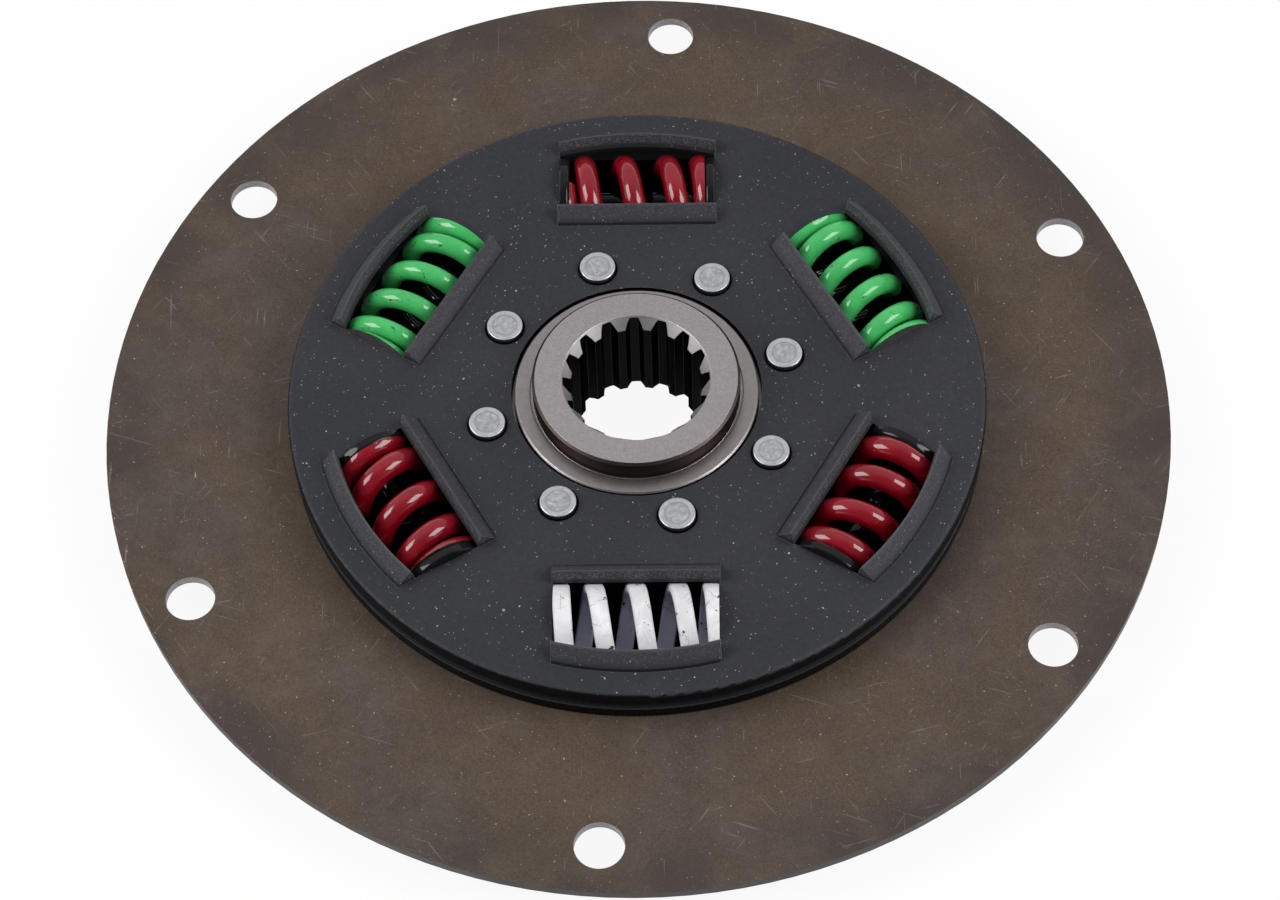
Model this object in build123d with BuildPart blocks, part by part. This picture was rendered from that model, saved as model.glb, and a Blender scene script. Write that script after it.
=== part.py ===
from build123d import *
import os
from math import acos, cos, hypot, radians, sin, tan

# Torsional damper: a drive plate bolts to an engine flywheel, and six coil
# springs carry the torque from it to a splined hub.
# Millimetres. +Z is the shaft axis and points to the transmission's side.
# z = 0 is the face of the drive plate that lies on the flywheel.

# Drive plate and the carrier disc that is riveted to it
plate_radius = 165.0
plate_thickness = 3.2
carrier_rim_width = 8.75
carrier_thickness = 4.0
bolt_count = 6
bolt_edge_distance = 15.0
bolt_hole_radius = 7.5
bolt_angle = 24.0

# Hub: one forging with a flange between the covers and a boss at each end
hub_length = 36.0
boss_radius = 32.0
boss_edge = 0.8
shoulder_width = 5.7
shoulder_edge = 0.5
foot_groove_width = 0.9
foot_groove_depth = 0.5
flange_radius = 57.0
flange_thickness = 12.0
running_clearance = 0.06

# Internal spline with involute flanks
tooth_count = 16
tooth_module = 2.5
pressure_angle = 30.0
space_width = 5.9
tip_shift = 0.3
tooth_height = 2.3
lead_in_margin = 0.4
lead_in_angle = 34.5

# Covers: two pressed discs riveted on the hub's flange
cover_overhang = 0.4
cover_thickness = 5.0
cover_rim_fillet = 1.5
cover_bore_clearance = 0.9

# Rivets through cover, flange and cover
hub_rivet_count = 8
hub_rivet_angle = 58.2
hub_rivet_radius = 4.0
hub_rivet_head_radius = 5.6
hub_rivet_head_height = 1.35
hub_rivet_head_edge = 0.4
rivet_hole_clearance = 0.05

# Windows and the springs that lie in them
window_count = 6
window_angle = 28.1
window_length = 49.4
window_land = 3.0
spring_radius = 14.95
window_side_clearance = 0.35
plate_window_clearance = 0.6

# Pressed lips along the two long sides of each cover window. They keep the
# springs in: each is the cover's own sheet bent outwards, its underside just
# clear of the spring. The inner lip is straight, the outer one follows the rim.
lip_height = 5.35
lip_thickness = 4.6
lip_tip_lean = 13.0
lip_overhang = 0.4
lip_edge = 0.7
inner_lip_slope = 45.0
inner_lip_clearance = 0.55
outer_lip_slope = 48.7
outer_lip_clearance = 0.1

# Two springs of round wire without seats
green_wire_radius = 3.2
green_turns = 5.45
green_dead_turns = 1.15
green_dead_gap = 0.15
green_tip_thickness = 1.0
green_start = 35.0

# Three heavy springs of round wire, each carried between two seats
red_wire_radius = 3.65
red_turns = 4.27
red_dead_turns = 0.97
red_dead_gap = 0.15
red_tip_thickness = 2.0
red_start_1 = 100.0
red_start_2 = 42.0
red_start_3 = 250.0

# One light spring of flat wire
white_wire_width = 5.5
white_wire_thickness = 2.8
white_turns = 5.2
white_dead_turns = 0.95
white_dead_gap = 0.2
white_tip_thickness = 1.35
white_start = 286.0

# Spring seats: a cap with a peg that reaches into the spring
seat_thickness = 3.1
seat_clearance = 0.35
seat_edge = 1.0
seat_peg_radius = 3.1
seat_peg_gap = 8.4
seat_peg_end = 1.2

# Rivets between drive plate and carrier disc, flush with the flywheel's side
carrier_rivet_count = 6
carrier_rivet_outset = 10.0
carrier_rivet_radius = 3.5
carrier_rivet_head_radius = 5.8
carrier_rivet_head_height = 2.2
carrier_rivet_head_edge = 0.6
countersink_depth = 2.3

# Friction rings at both sides of the carrier, and the spring behind one
ring_clearance = 0.5
ring_width = 4.2
front_ring_thickness = 2.0
disc_spring_sheet = 0.9

# Levels along the shaft axis. The damper is alike on both sides of the middle
# of the carrier disc.
carrier_face = plate_thickness + carrier_thickness
mid_plane = plate_thickness + carrier_thickness / 2
flange_front = mid_plane + flange_thickness / 2
flange_rear = mid_plane - flange_thickness / 2
cover_face = flange_front + cover_thickness
hub_front = mid_plane + hub_length / 2
half_window = window_length / 2
window_step = 360 / window_count

# Radii that follow from the sizes above, from the shaft outwards
pitch_radius = tooth_count * tooth_module / 2
spline_tip_radius = pitch_radius + tip_shift
spline_root_radius = spline_tip_radius + tooth_height
lead_in_radius = spline_root_radius + lead_in_margin
shoulder_radius = boss_radius + shoulder_width
hub_rivet_circle_radius = (shoulder_radius + flange_radius) / 2
ring_inner_radius = flange_radius + ring_clearance
ring_outer_radius = ring_inner_radius + ring_width
window_half_width = spring_radius + window_side_clearance
spring_circle_radius = ring_outer_radius + window_land + window_half_width
carrier_rivet_circle_radius = spring_circle_radius + carrier_rivet_outset
window_corner_radius = hypot(spring_circle_radius + window_half_width, half_window)
carrier_radius = window_corner_radius + carrier_rim_width
cover_radius = carrier_radius + cover_overhang
bolt_circle_radius = plate_radius - bolt_edge_distance

middle = Plane.XY.offset(mid_plane)
standing = (Align.CENTER, Align.CENTER, Align.MIN)


def polar_point(radius, angle):
    """Point at a radius and an angle in radians."""
    return (radius * cos(angle), radius * sin(angle))


def involute(radius):
    """Roll angle in radians of an involute flank where it crosses a radius."""
    base_radius = pitch_radius * cos(radians(pressure_angle))
    flank_angle = acos(base_radius / radius)
    return tan(flank_angle) - flank_angle


def half_space(radius):
    """Half the angle in radians between two neighbouring teeth at a radius."""
    return space_width / 2 / pitch_radius - involute(radius) + involute(pitch_radius)


def window_plane(number):
    """Plane across the middle of a window: x points outwards, y along the shaft."""
    angle = radians(window_angle + number * window_step)
    outwards = (cos(angle), sin(angle), 0)
    along = (sin(angle), -cos(angle), 0)
    return Plane(origin=(0, 0, 0), x_dir=outwards, z_dir=along)


def spring_plane(number, along, turned=0.0):
    """Plane across a spring's axis at a distance along it from the window's middle."""
    across = window_plane(number)
    origin = across.from_local_coords((spring_circle_radius, mid_plane, along))
    start_dir = across.x_dir.rotate(Axis((0, 0, 0), across.z_dir), turned)
    return Plane(origin=origin, x_dir=start_dir, z_dir=across.z_dir)


def lip_outline(side, slope, start):
    """Corners of a lip's section: outer fold, tip, underside, inner fold.

    The underside runs through the start point and rises at the slope, towards
    the spring. The side is 1 for a lip that leans outwards and -1 for one that
    leans inwards.
    """
    angle = radians(slope)
    lean = radians(lip_tip_lean)
    reach = lip_thickness / cos(angle)
    tip_level = cover_face + lip_height
    outer_rise = start[1] + reach

    def underside(level):
        return start[0] + side * (level - start[1]) / tan(angle)

    def topside(level):
        return start[0] + side * (level - outer_rise) / tan(angle)

    tip = topside(tip_level)
    drop = (underside(tip_level) - tip) * side / (tan(lean) + 1 / tan(angle))
    under_tip = tip + side * drop * tan(lean)
    return [
        (topside(cover_face), cover_face),
        (tip, tip_level),
        (under_tip, tip_level - drop),
        (underside(flange_front), flange_front),
        (topside(cover_face), flange_front),
    ]


# Drive plate: a flat sheet with bolt holes, and windows a little larger than
# the carrier's, so that the carrier alone pushes the springs
with BuildPart() as drive_plate:
    with BuildSketch():
        Circle(plate_radius)
        Circle(flange_radius + running_clearance, mode=Mode.SUBTRACT)
        with PolarLocations(bolt_circle_radius, bolt_count, start_angle=bolt_angle):
            Circle(bolt_hole_radius, mode=Mode.SUBTRACT)
        with PolarLocations(spring_circle_radius, window_count, start_angle=window_angle):
            Rectangle(
                2 * (window_half_width + plate_window_clearance),
                window_length + 2 * plate_window_clearance,
                mode=Mode.SUBTRACT,
            )
    extrude(amount=plate_thickness)
    with PolarLocations(
        carrier_rivet_circle_radius, carrier_rivet_count, start_angle=window_angle + window_step / 2
    ):
        Cylinder(
            carrier_rivet_radius + rivet_hole_clearance,
            plate_thickness,
            align=standing,
            mode=Mode.SUBTRACT,
        )
        Cone(
            carrier_rivet_head_radius + rivet_hole_clearance,
            carrier_rivet_radius + rivet_hole_clearance,
            countersink_depth,
            align=standing,
            mode=Mode.SUBTRACT,
        )

# Carrier disc: it lies on the drive plate and its window ends push the springs
with BuildPart() as carrier_disc:
    with BuildSketch(Plane.XY.offset(plate_thickness)):
        Circle(carrier_radius)
        Circle(flange_radius + running_clearance, mode=Mode.SUBTRACT)
        with PolarLocations(spring_circle_radius, window_count, start_angle=window_angle):
            Rectangle(2 * window_half_width, window_length, mode=Mode.SUBTRACT)
        with PolarLocations(
            carrier_rivet_circle_radius,
            carrier_rivet_count,
            start_angle=window_angle + window_step / 2,
        ):
            Circle(carrier_rivet_radius + rivet_hole_clearance, mode=Mode.SUBTRACT)
    extrude(amount=carrier_thickness)

# One space between two teeth of the spline
with BuildSketch() as tooth_space:
    with BuildLine():
        mouth_radius = spline_tip_radius - (spline_root_radius - spline_tip_radius) / 2
        flank_radii = (mouth_radius, (mouth_radius + spline_root_radius) / 2, spline_root_radius)
        left = [polar_point(radius, half_space(radius)) for radius in flank_radii]
        right = [polar_point(radius, -half_space(radius)) for radius in flank_radii]
        ThreePointArc(*left)
        ThreePointArc(left[2], (spline_root_radius, 0), right[2])
        ThreePointArc(*reversed(right))
        Line(right[0], left[0])
    make_face()

# Hub: flange, shoulders level with the covers, and a boss at each end
with BuildPart() as hub:
    with BuildSketch(middle):
        Circle(flange_radius)
    extrude(amount=flange_thickness / 2, both=True)
    with BuildSketch(middle):
        Circle(shoulder_radius)
    extrude(amount=flange_thickness / 2 + cover_thickness, both=True)
    shoulder_rims = hub.edges().group_by(Axis.Z)
    chamfer(shoulder_rims[0] + shoulder_rims[-1], shoulder_edge)
    with BuildSketch(middle):
        Circle(boss_radius)
    extrude(amount=hub_length / 2, both=True)
    boss_rims = hub.edges().group_by(Axis.Z)
    chamfer(boss_rims[0] + boss_rims[-1], boss_edge)
    with BuildSketch(Plane.XY.offset(cover_face)):
        Circle(boss_radius + foot_groove_width)
        Circle(boss_radius, mode=Mode.SUBTRACT)
    groove = extrude(amount=-foot_groove_depth, mode=Mode.SUBTRACT)
    mirror(groove, about=middle, mode=Mode.SUBTRACT)
    with BuildSketch(middle):
        Circle(spline_tip_radius)
        with PolarLocations(0, tooth_count):
            add(tooth_space.sketch)
    extrude(amount=hub_length / 2, both=True, mode=Mode.SUBTRACT)
    lead_in_height = lead_in_radius / tan(radians(lead_in_angle))
    with Locations((0, 0, hub_front - lead_in_height)):
        Cone(0, lead_in_radius, lead_in_height, align=standing, mode=Mode.SUBTRACT)
    with BuildSketch(middle):
        with PolarLocations(hub_rivet_circle_radius, hub_rivet_count, start_angle=hub_rivet_angle):
            Circle(hub_rivet_radius + rivet_hole_clearance)
    extrude(amount=flange_thickness / 2, both=True, mode=Mode.SUBTRACT)

# Section of the inner lips, placed by the spring's side
slope_angle = radians(inner_lip_slope)
inner_reach = spring_radius + inner_lip_clearance
inner_start = (
    spring_circle_radius - inner_reach * sin(slope_angle),
    mid_plane + inner_reach * cos(slope_angle),
)
inner_outline = lip_outline(1, inner_lip_slope, inner_start)

# Section of the outer lips, placed by the spring's far corner at a window's end
slope_angle = radians(outer_lip_slope)
outer_reach = spring_radius + outer_lip_clearance
outer_start = (
    hypot(spring_circle_radius + outer_reach * sin(slope_angle), half_window),
    mid_plane + outer_reach * cos(slope_angle),
)
outer_outline = lip_outline(-1, outer_lip_slope, outer_start)

# Outer lips: a ring of the lip's section, kept at the windows only
with BuildPart() as outer_lips:
    with BuildSketch(Plane.XZ):
        with BuildLine():
            Polyline(*outer_outline, close=True)
        outer_face = make_face()
        fillet(outer_face.vertices().sort_by(Axis.Z)[-1], lip_edge)
    revolve(axis=Axis.Z)
    with BuildSketch(Plane.XY.offset(flange_front)):
        with PolarLocations(spring_circle_radius, window_count, start_angle=window_angle):
            with Locations((spring_radius, 0)):
                Rectangle(2 * spring_radius, window_length + 2 * lip_overhang)
    extrude(amount=cover_thickness + lip_height, mode=Mode.INTERSECT)

# Front cover: disc, windows cut between the folds of the lips, then the lips
with BuildPart() as front_cover:
    with BuildSketch(Plane.XY.offset(flange_front)):
        Circle(cover_radius)
        Circle(shoulder_radius + cover_bore_clearance, mode=Mode.SUBTRACT)
    extrude(amount=cover_thickness)
    rim = front_cover.edges().group_by(Axis.Z)[-1].sort_by(SortBy.RADIUS)[-1]
    fillet(rim, cover_rim_fillet)
    with BuildSketch(Plane.XY.offset(flange_front)) as windows:
        inner_fold = inner_outline[0][0]
        outer_fold = outer_outline[0][0]
        with PolarLocations(inner_fold, window_count, start_angle=window_angle):
            Rectangle(outer_fold, window_length, align=(Align.MIN, Align.CENTER))
        Circle(outer_fold, mode=Mode.INTERSECT)
    extrude(amount=cover_thickness, mode=Mode.SUBTRACT)
    for number in range(window_count):
        with BuildSketch(window_plane(number)) as inner_lip:
            with BuildLine():
                Polyline(*inner_outline, close=True)
            make_face()
            tip_corner = inner_lip.vertices().sort_by(Axis.Z)[-1]
            fillet(tip_corner, lip_edge)
        extrude(amount=half_window + lip_overhang, both=True)
    add(outer_lips.part)
    with BuildSketch(Plane.XY.offset(flange_front)):
        with PolarLocations(hub_rivet_circle_radius, hub_rivet_count, start_angle=hub_rivet_angle):
            Circle(hub_rivet_radius + rivet_hole_clearance)
    extrude(amount=cover_thickness, mode=Mode.SUBTRACT)

# Rear cover: the same pressing, turned to face the flywheel
with BuildPart() as rear_cover:
    mirror(front_cover.part, about=middle)

# Hub rivets: upset at both ends to flat heads
with BuildPart() as hub_rivet:
    with BuildSketch(middle):
        Circle(hub_rivet_radius)
    extrude(amount=cover_face - mid_plane)
    with BuildSketch(Plane.XY.offset(cover_face)):
        Circle(hub_rivet_head_radius)
    extrude(amount=hub_rivet_head_height)
    chamfer(hub_rivet.edges().group_by(Axis.Z)[-1], hub_rivet_head_edge)
    mirror(about=middle)

with BuildPart() as hub_rivets:
    with PolarLocations(hub_rivet_circle_radius, hub_rivet_count, start_angle=hub_rivet_angle):
        add(hub_rivet.part)

# Carrier rivets: countersunk in the drive plate, low heads in the front gap
with BuildPart() as carrier_rivet:
    Cone(carrier_rivet_head_radius, carrier_rivet_radius, countersink_depth, align=standing)
    Cylinder(carrier_rivet_radius, carrier_face, align=standing)
    with BuildSketch(Plane.XY.offset(carrier_face)):
        Circle(carrier_rivet_head_radius)
    extrude(amount=carrier_rivet_head_height)
    chamfer(carrier_rivet.edges().group_by(Axis.Z)[-1], carrier_rivet_head_edge)

with BuildPart() as carrier_rivets:
    with PolarLocations(
        carrier_rivet_circle_radius, carrier_rivet_count, start_angle=window_angle + window_step / 2
    ):
        add(carrier_rivet.part)

# Friction rings: they centre the carrier between the covers and rub on it
with BuildPart() as front_friction_ring:
    with BuildSketch(Plane.XY.offset(carrier_face)):
        Circle(ring_outer_radius)
        Circle(ring_inner_radius, mode=Mode.SUBTRACT)
    extrude(amount=front_ring_thickness)

with BuildPart() as rear_friction_ring:
    with BuildSketch(Plane.XY.offset(flange_rear)):
        Circle(ring_outer_radius)
        Circle(ring_inner_radius, mode=Mode.SUBTRACT)
    extrude(amount=-flange_rear)

# Disc spring: a coned washer pressed between the front cover and its ring
with BuildPart() as disc_spring:
    ring_face = carrier_face + front_ring_thickness
    with BuildSketch(Plane.XZ):
        with BuildLine():
            Polyline(
                (ring_inner_radius, flange_front),
                (ring_inner_radius, flange_front - disc_spring_sheet),
                (ring_outer_radius, ring_face),
                (ring_outer_radius, ring_face + disc_spring_sheet),
                close=True,
            )
        make_face()
    revolve(axis=Axis.Z)


def wire_turns(section, mean_radius, pitch, turns):
    """A wire's section carried along a right-hand helix round the Z axis."""
    with BuildPart() as coil:
        with BuildLine():
            Helix(pitch, pitch * turns, mean_radius)
        with BuildSketch(Plane.XZ):
            with Locations((mean_radius, 0)):
                add(section.sketch)
        sweep(is_frenet=True)
    return coil.part


def coil_spring(section, wire, length, turns, dead_turns, dead_gap, tip_thickness):
    """Spring standing on z = 0. Its closed end turns are ground flat.

    The wire runs on past both ends of the finished spring, and the grinding
    leaves the tip thickness of it at each tip.
    """
    wire_depth, wire_width = wire
    mean_radius = spring_radius - wire_depth / 2
    ground_depth = wire_width / 2 - tip_thickness
    dead_pitch = wire_width + dead_gap
    dead_rise = dead_pitch * dead_turns
    active_turns = turns - 2 * dead_turns
    active_pitch = (length + 2 * ground_depth - 2 * dead_rise) / active_turns
    first_level = dead_rise - ground_depth
    last_level = length - first_level
    end_turns = wire_turns(section, mean_radius, dead_pitch, dead_turns)
    middle_turns = wire_turns(section, mean_radius, active_pitch, active_turns)
    with BuildPart() as spring:
        with Locations((0, 0, -ground_depth)):
            add(end_turns)
        with Locations(Location((0, 0, first_level), (0, 0, 360 * dead_turns))):
            add(middle_turns)
        with Locations(Location((0, 0, last_level), (0, 0, 360 * (turns - dead_turns)))):
            add(end_turns)
        Cylinder(2 * spring_radius, length, align=standing, mode=Mode.INTERSECT)
    return spring.part


# Wire sections, drawn round the wire's own middle
with BuildSketch() as green_section:
    Circle(green_wire_radius)
with BuildSketch() as red_section:
    Circle(red_wire_radius)
with BuildSketch() as white_section:
    Rectangle(white_wire_thickness, white_wire_width)

green_wire = (2 * green_wire_radius, 2 * green_wire_radius)
red_wire = (2 * red_wire_radius, 2 * red_wire_radius)
white_wire = (white_wire_thickness, white_wire_width)
red_length = window_length - 2 * seat_thickness

green_coil = coil_spring(
    green_section,
    green_wire,
    window_length,
    green_turns,
    green_dead_turns,
    green_dead_gap,
    green_tip_thickness,
)
red_coil = coil_spring(
    red_section,
    red_wire,
    red_length,
    red_turns,
    red_dead_turns,
    red_dead_gap,
    red_tip_thickness,
)
white_coil = coil_spring(
    white_section,
    white_wire,
    window_length,
    white_turns,
    white_dead_turns,
    white_dead_gap,
    white_tip_thickness,
)

# Springs in their windows, counted from the first window round the shaft
with BuildPart(spring_plane(0, -half_window, green_start)) as green_spring_1:
    add(green_coil)
with BuildPart(spring_plane(2, -half_window, green_start)) as green_spring_2:
    add(green_coil)
with BuildPart(spring_plane(1, -red_length / 2, red_start_1)) as red_spring_1:
    add(red_coil)
with BuildPart(spring_plane(3, -red_length / 2, red_start_2)) as red_spring_2:
    add(red_coil)
with BuildPart(spring_plane(5, -red_length / 2, red_start_3)) as red_spring_3:
    add(red_coil)
with BuildPart(spring_plane(4, -half_window, white_start)) as white_spring:
    add(white_coil)

# Seat: a cap against the window's end, its peg on the spring's axis
with BuildPart() as seat:
    Cylinder(spring_radius - seat_clearance, seat_thickness, align=standing)
    chamfer(seat.edges().group_by(Axis.Z)[-1], seat_edge)
    with BuildSketch(Plane.XY.offset(seat_thickness)):
        Circle(seat_peg_radius)
    extrude(amount=(red_length - seat_peg_gap) / 2)
    chamfer(seat.edges().group_by(Axis.Z)[-1], seat_peg_end)

pieces = {
    "drive_plate": drive_plate,
    "carrier_disc": carrier_disc,
    "carrier_rivets": carrier_rivets,
    "hub": hub,
    "hub_rivets": hub_rivets,
    "front_cover": front_cover,
    "rear_cover": rear_cover,
    "front_friction_ring": front_friction_ring,
    "rear_friction_ring": rear_friction_ring,
    "disc_spring": disc_spring,
    "green_spring_1": green_spring_1,
    "green_spring_2": green_spring_2,
    "red_spring_1": red_spring_1,
    "red_spring_2": red_spring_2,
    "red_spring_3": red_spring_3,
    "white_spring": white_spring,
}

# Two seats to each heavy spring, the second one turned round to face the first
for spring_number, window in enumerate((1, 3, 5), start=1):
    with BuildPart(spring_plane(window, -half_window)) as near_seat:
        add(seat.part)
    with BuildPart(spring_plane(window, 0)) as far_seat:
        with Locations(Location((0, 0, half_window), (180, 0, 0))):
            add(seat.part)
    pieces[f"seat_{spring_number}_near"] = near_seat
    pieces[f"seat_{spring_number}_far"] = far_seat

os.makedirs("parts", exist_ok=True)
for name, piece in pieces.items():
    piece.part.label = name
    export_step(piece.part, f"parts/{name}.step")
    print(name, len(piece.part.solids()), round(piece.part.volume, 1))
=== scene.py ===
# %% [markdown]
# # A torsional damper, dressed in Blender
# A torsional damper sits between an engine's flywheel and a gearbox. The brown
# plate turns with the engine, the splined hub turns with the gearbox, and six
# coil springs between them take up the jerks. The solids come finished from
# CAD. This lesson gives them their finishes, and makes again the few pieces
# that the CAD model keeps plain: springs, spring seats and rivet heads.

# %% Load the fixed frame
import math
import random

import bmesh
import bpy
from mathutils import Matrix, Vector


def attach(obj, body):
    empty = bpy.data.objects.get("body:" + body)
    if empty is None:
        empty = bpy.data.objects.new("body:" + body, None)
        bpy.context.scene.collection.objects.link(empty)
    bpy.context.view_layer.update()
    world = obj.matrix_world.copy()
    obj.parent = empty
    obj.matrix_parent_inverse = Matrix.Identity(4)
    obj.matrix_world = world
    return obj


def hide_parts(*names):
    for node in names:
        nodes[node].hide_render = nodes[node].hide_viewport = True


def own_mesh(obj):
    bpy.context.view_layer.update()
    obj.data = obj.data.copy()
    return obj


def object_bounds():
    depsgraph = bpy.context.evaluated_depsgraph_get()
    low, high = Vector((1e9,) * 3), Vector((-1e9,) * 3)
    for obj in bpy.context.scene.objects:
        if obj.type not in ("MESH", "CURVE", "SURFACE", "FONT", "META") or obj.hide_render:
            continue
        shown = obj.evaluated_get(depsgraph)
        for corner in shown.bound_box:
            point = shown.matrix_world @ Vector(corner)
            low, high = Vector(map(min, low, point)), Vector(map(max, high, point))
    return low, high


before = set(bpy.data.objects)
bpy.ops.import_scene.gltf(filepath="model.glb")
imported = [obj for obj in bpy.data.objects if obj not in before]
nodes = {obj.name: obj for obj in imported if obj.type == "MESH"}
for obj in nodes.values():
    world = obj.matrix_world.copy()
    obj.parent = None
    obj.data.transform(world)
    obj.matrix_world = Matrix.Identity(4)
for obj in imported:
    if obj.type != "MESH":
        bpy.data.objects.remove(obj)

cad_low, cad_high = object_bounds()
MM = 0.001


def new_object(name, data):
    """Makes an object from its data and puts it in the scene."""
    thing = bpy.data.objects.new(name, data)
    bpy.context.scene.collection.objects.link(thing)
    return thing


print("nodes:", len(nodes), "box:", cad_low, cad_high)

# %% [markdown]
# ## The camera
# The camera comes first, because every finish is judged through it. Its place
# was worked out from the outline of the plate, its bolt holes and the rivets:
# they lie on circles of known size, so one lens and one distance fit them all.
# A long lens a little over a metre away keeps the discs nearly in true shape.

# %% Place the camera
ELEVATION = math.radians(57.2296)
ROLL = math.radians(-2.145)
DISTANCE = 1171.87 * MM
SHIFT_RIGHT = -0.77 * MM
SHIFT_UP = 10.65 * MM
AIM_HEIGHT = 1.6 * MM
FOCAL_PIXELS = 3766.16
PHOTO_WIDTH = 1280
SENSOR_WIDTH = 36.0
NEAR_CLIP = 0.05
FAR_CLIP = 20.0

forward = Vector((0, math.cos(ELEVATION), -math.sin(ELEVATION)))
level_right = Vector((1, 0, 0))
level_up = level_right.cross(forward)
right = math.cos(ROLL) * level_right + math.sin(ROLL) * level_up
up = -math.sin(ROLL) * level_right + math.cos(ROLL) * level_up
aim = Vector((0, 0, AIM_HEIGHT)) - SHIFT_RIGHT * right - SHIFT_UP * up
place = aim - DISTANCE * forward

camera_data = bpy.data.cameras.new("Photo camera")
camera_data.sensor_width = SENSOR_WIDTH
camera_data.lens = FOCAL_PIXELS * SENSOR_WIDTH / PHOTO_WIDTH
camera_data.clip_start = NEAR_CLIP
camera_data.clip_end = FAR_CLIP
camera = new_object("Photo camera", camera_data)
camera.matrix_world = Matrix.Translation(place) @ Matrix((right, up, -forward)).transposed().to_4x4()
bpy.context.scene.camera = camera
bpy.context.scene.view_settings.view_transform = "Standard"
print("camera at", place, "lens", round(camera_data.lens, 2))

# %% [markdown]
# ## A few helpers for materials
# A node tree is easier to read when each node is made, set and wired in one
# line. `add_node` does that, and `feed` fills more inputs by name. The small
# functions after them name the steps that come again and again. `new_group`
# makes a shader node group with named sockets, so that an effect such as dust
# is built once and used in many materials, each with its own values.

# %% Helpers for node trees
def fill(tree, socket, value):
    """Links an input to another node's output, or writes a plain value in it."""
    if isinstance(value, bpy.types.NodeSocket):
        tree.links.new(value, socket)
    else:
        socket.default_value = value


def feed(tree, node, **values):
    """Fills a node's inputs by name. A _ stands for a space."""
    for label, value in values.items():
        fill(tree, node.inputs[label.replace("_", " ")], value)


def add_node(tree, kind, inputs=None, **settings):
    """Adds a node, sets its properties and fills or links its inputs."""
    node = tree.nodes.new(kind)
    for name, value in settings.items():
        setattr(node, name, value)
    for name, value in (inputs or {}).items():
        fill(tree, node.inputs[name], value)
    return node


def math_node(tree, operation, first, second=0.0, clamp=False):
    """One sum, product or comparison of two numbers."""
    node = add_node(tree, "ShaderNodeMath", {0: first, 1: second}, operation=operation, use_clamp=clamp)
    return node.outputs[0]


def times(tree, first, second, clamp=False):
    """The product of two numbers or masks."""
    return math_node(tree, "MULTIPLY", first, second, clamp)


def minus(tree, first, second, clamp=False):
    """The difference of two numbers or masks."""
    return math_node(tree, "SUBTRACT", first, second, clamp)


def fade(tree, value, low, high, to_low=0.0, to_high=1.0):
    """Turns a range of values into another range, with soft ends."""
    inputs = {"Value": value, "From Min": low, "From Max": high, "To Min": to_low, "To Max": to_high}
    node = add_node(tree, "ShaderNodeMapRange", inputs, interpolation_type="SMOOTHSTEP")
    return node.outputs["Result"]


def fade_out(tree, value, low, high):
    """One below a range of values, zero above it."""
    return fade(tree, value, low, high, 1.0, 0.0)


def spread(tree, mask, at_zero, at_one):
    """Turns a mask into a range of values."""
    return fade(tree, mask, 0.0, 1.0, at_zero, at_one)


def strongest(tree, first, *others):
    """The strongest of several masks."""
    for other in others:
        first = math_node(tree, "MAXIMUM", first, other)
    return first


def mix_color(tree, factor, first, second):
    """Mixes two colours by a mask."""
    node = add_node(tree, "ShaderNodeMix", data_type="RGBA")
    for number, value in ((0, factor), (6, first), (7, second)):
        fill(tree, node.inputs[number], value)
    return node.outputs[2]


def tint(tree, color, mask, share, other):
    """Mixes a share of another colour into a colour, where the mask is on."""
    return mix_color(tree, times(tree, mask, share), color, other)


def object_place(tree):
    """The place on the piece, in metres."""
    return add_node(tree, "ShaderNodeTexCoord").outputs["Object"]


def split(tree, vector):
    """The three numbers of a vector."""
    return add_node(tree, "ShaderNodeSeparateXYZ", {"Vector": vector}).outputs


def noise_at(tree, vector, scale, detail, **more):
    """A cloudy noise. Other inputs are given by name."""
    inputs = {"Vector": vector, "Scale": scale, "Detail": detail, **more}
    return add_node(tree, "ShaderNodeTexNoise", inputs).outputs["Fac"]


def turn_and_stretch(tree, vector, turn, stretch, shift=(0, 0, 0)):
    """Turns a pattern, and then stretches it. One Mapping node would stretch first."""
    turned = add_node(tree, "ShaderNodeMapping", {"Vector": vector, "Rotation": (0, 0, turn)})
    inputs = {"Vector": turned.outputs[0], "Scale": stretch, "Location": shift}
    return add_node(tree, "ShaderNodeMapping", inputs).outputs[0]


def new_group(name, inputs, outputs):
    """Starts a shader node group: numbers come in, masks or colours go out."""
    tree = bpy.data.node_groups.new(name, "ShaderNodeTree")
    for label, value in inputs.items():
        socket = tree.interface.new_socket(label, in_out="INPUT", socket_type="NodeSocketFloat")
        socket.default_value = value
    for label, kind in outputs.items():
        tree.interface.new_socket(label, in_out="OUTPUT", socket_type=kind)
    return tree, tree.nodes.new("NodeGroupInput"), tree.nodes.new("NodeGroupOutput")


def use_group(tree, group, **values):
    """Places a group with its own values and gives back its outputs."""
    node = tree.nodes.new("ShaderNodeGroup")
    node.node_tree = group
    feed(tree, node, **values)
    return node.outputs


MASK = "NodeSocketFloat"
NORMAL = "NodeSocketVector"
print("helpers ready")

# %% [markdown]
# ## Dust
# The photographed part has lain in a workshop: pale specks of dust and a few
# short fibres lie on all its dark faces. A Voronoi texture scatters one point
# to each cell. The cell's colour gives each point its own size and strength,
# so most specks stay tiny and dim. A pattern that is first bent and turned,
# and then stretched, makes the fibres.

# %% Dust group
EVEN = (1.0, 1.0, 1.0)
BEND_SCALE = 150.0
BEND = 0.004
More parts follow.
